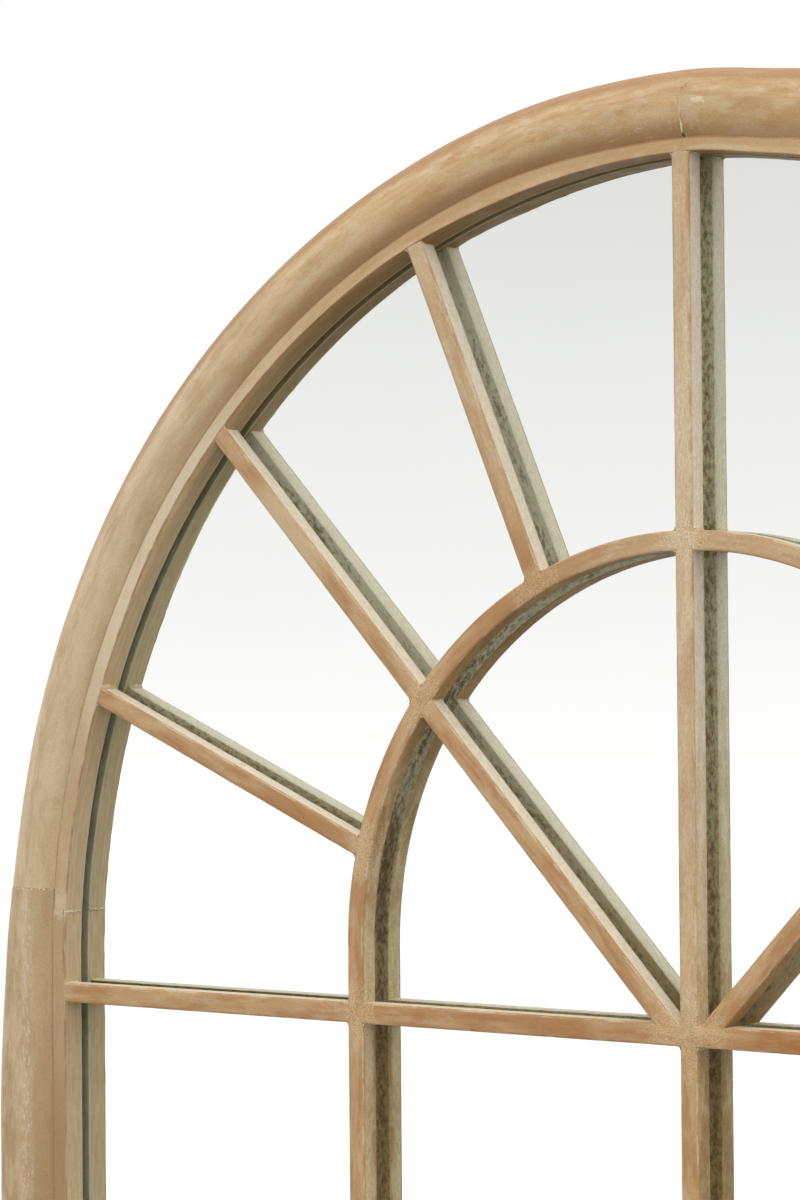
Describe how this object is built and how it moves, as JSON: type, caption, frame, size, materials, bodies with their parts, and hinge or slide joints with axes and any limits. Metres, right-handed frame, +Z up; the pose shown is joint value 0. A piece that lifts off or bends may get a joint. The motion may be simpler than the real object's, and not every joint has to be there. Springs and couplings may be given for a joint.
{
  "type": "arched wall mirror",
  "caption": "Round-headed wall mirror in a limed wooden moulding, with window-style glazing bars and a fan of spokes over the glass, and strap hangers behind.",
  "frame": {"origin": "under the middle of the frame, level with its underside, halfway through the overall depth", "axes": "+X to the right as seen from the front, +Y into the wall, +Z up"},
  "size_m": [1.0188, 0.0432, 1.7953],
  "materials": {
    "limed_moulding": "limed and waxed, worn",
    "limed_bar": "limed and waxed, worn",
    "raw_wood": "bare",
    "mirror": "silvered glass",
    "hardboard": "bare board",
    "zinc": "zinc plated",
    "bumper_rubber": "matt"
  },
  "bodies": {
    "frame": {"arch_left": "limed_moulding", "arch_right": "limed_moulding", "backing_board": "hardboard", "board_screw_foot_left": "zinc", "board_screw_foot_right": "zinc", "board_screw_left_1": "zinc", "board_screw_left_2": "zinc", "board_screw_left_3": "zinc", "board_screw_left_4": "zinc", "board_screw_left_5": "zinc", "board_screw_right_1": "zinc", "board_screw_right_2": "zinc", "board_screw_right_3": "zinc", "board_screw_right_4": "zinc", "board_screw_right_5": "zinc", "bottom_rail": "limed_moulding", "bumper_left": "bumper_rubber", "bumper_right": "bumper_rubber", "centre_bar": "limed_bar", "corner_tongue_left": "raw_wood", "corner_tongue_right": "raw_wood", "crown_tongue": "raw_wood", "hanger_strap_left": "zinc", "hanger_strap_right": "zinc", "high_spoke_left": "limed_bar", "high_spoke_right": "limed_bar", "inner_arch_left": "limed_bar", "inner_arch_right": "limed_bar", "inner_leg_left": "limed_bar", "inner_leg_right": "limed_bar", "long_spoke_left": "limed_bar", "long_spoke_right": "limed_bar", "low_spoke_left": "limed_bar", "low_spoke_right": "limed_bar", "lower_bar_1": "limed_bar", "lower_bar_2": "limed_bar", "mirror_glass": "mirror", "shoulder_tongue_left": "raw_wood", "shoulder_tongue_right": "raw_wood", "springing_bar": "limed_bar", "stile_left": "limed_moulding", "stile_right": "limed_moulding", "strap_screw_left_1": "zinc", "strap_screw_left_2": "zinc", "strap_screw_right_1": "zinc", "strap_screw_right_2": "zinc"},
    "ring_left": {"hanger_ring_left": "zinc"},
    "ring_right": {"hanger_ring_right": "zinc"}
  },
  "joints": [
    {"name": "ring_left_swing", "type": "hinge", "parent": "frame", "child": "ring_left", "pos_m": [-0.4855, 0.01785, 1.2105], "axis": [1, 0, 0], "range_deg": [0, 180]},
    {"name": "ring_right_swing", "type": "hinge", "parent": "frame", "child": "ring_right", "pos_m": [0.4855, 0.01785, 1.2105], "axis": [1, 0, 0], "range_deg": [0, 180]}
  ]
}
